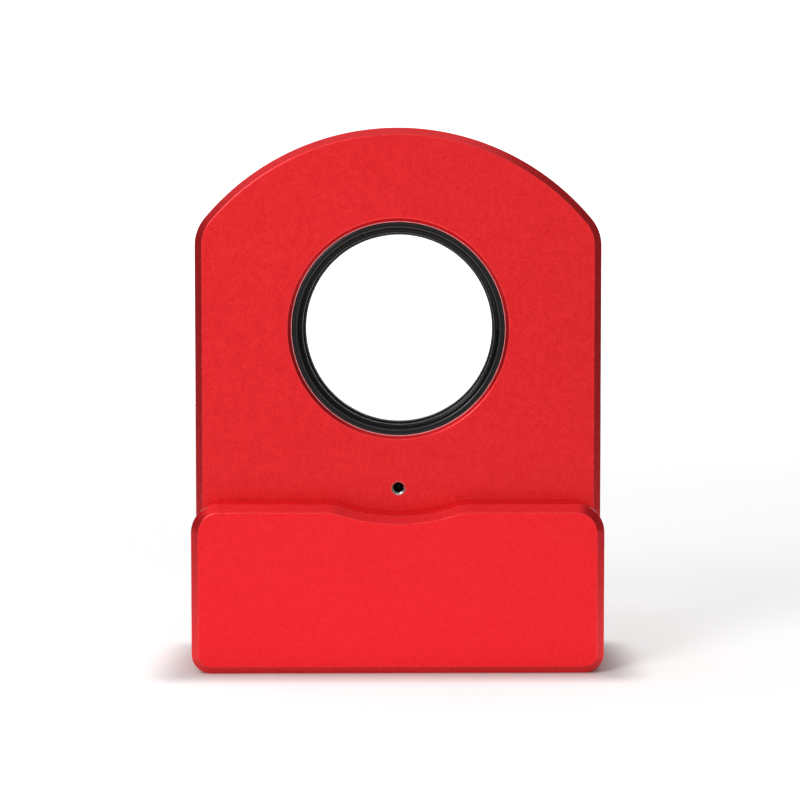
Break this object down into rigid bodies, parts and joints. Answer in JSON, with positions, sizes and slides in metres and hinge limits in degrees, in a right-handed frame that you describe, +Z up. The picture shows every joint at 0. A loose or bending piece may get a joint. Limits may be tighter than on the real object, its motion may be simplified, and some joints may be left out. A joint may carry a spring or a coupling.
{
  "type": "telescope filter drawer",
  "caption": "Arched flat housing with a threaded port on each face and a pull-out tray with a broad grip that swaps the filter between a telescope and a camera.",
  "frame": {"origin": "under the middle of the part, on the plane that its grip stands on", "axes": "+Z up, from the grip towards the arch; +X across the housing, to the right as the front port is seen; the front port faces -Y and the optical axis is parallel to Y"},
  "size_m": [0.087, 0.0314, 0.1154],
  "materials": {
    "red_anodised": "bead-blasted and anodised red, satin",
    "black_anodised": "anodised black, satin",
    "stainless": "turned stainless steel",
    "black_steel": "black oxide",
    "nickel": "nickel plated",
    "felt": "short black flock"
  },
  "bodies": {
    "drawer": {"grip": "red_anodised", "filter_tray": "black_anodised", "light_seal": "felt", "grip_magnet_left": "nickel", "tray_screw_left": "stainless", "tray_dowel_left": "stainless", "grip_magnet_right": "nickel", "tray_screw_right": "stainless", "tray_dowel_right": "stainless"},
    "housing": {"front_housing": "red_anodised", "rear_cover": "red_anodised", "front_thread_ring": "black_anodised", "rear_thread_ring": "black_anodised", "front_ring_screw_1": "black_steel", "rear_ring_screw_1": "black_steel", "front_ring_screw_2": "black_steel", "rear_ring_screw_2": "black_steel", "front_ring_screw_3": "black_steel", "rear_ring_screw_3": "black_steel", "cover_screw_1": "stainless", "cover_screw_2": "stainless", "cover_screw_3": "stainless", "cover_screw_4": "stainless", "cover_screw_5": "stainless", "cover_screw_6": "stainless", "cover_screw_7": "stainless", "cover_screw_8": "stainless", "cover_dowel_left": "stainless", "housing_magnet_left": "nickel", "cover_dowel_right": "stainless", "housing_magnet_right": "nickel"}
  },
  "joints": [
    {"name": "drawer_slide", "type": "slide", "parent": "drawer", "child": "housing", "axis": [0, 0, 1], "range_m": [0, 0.085]}
  ]
}
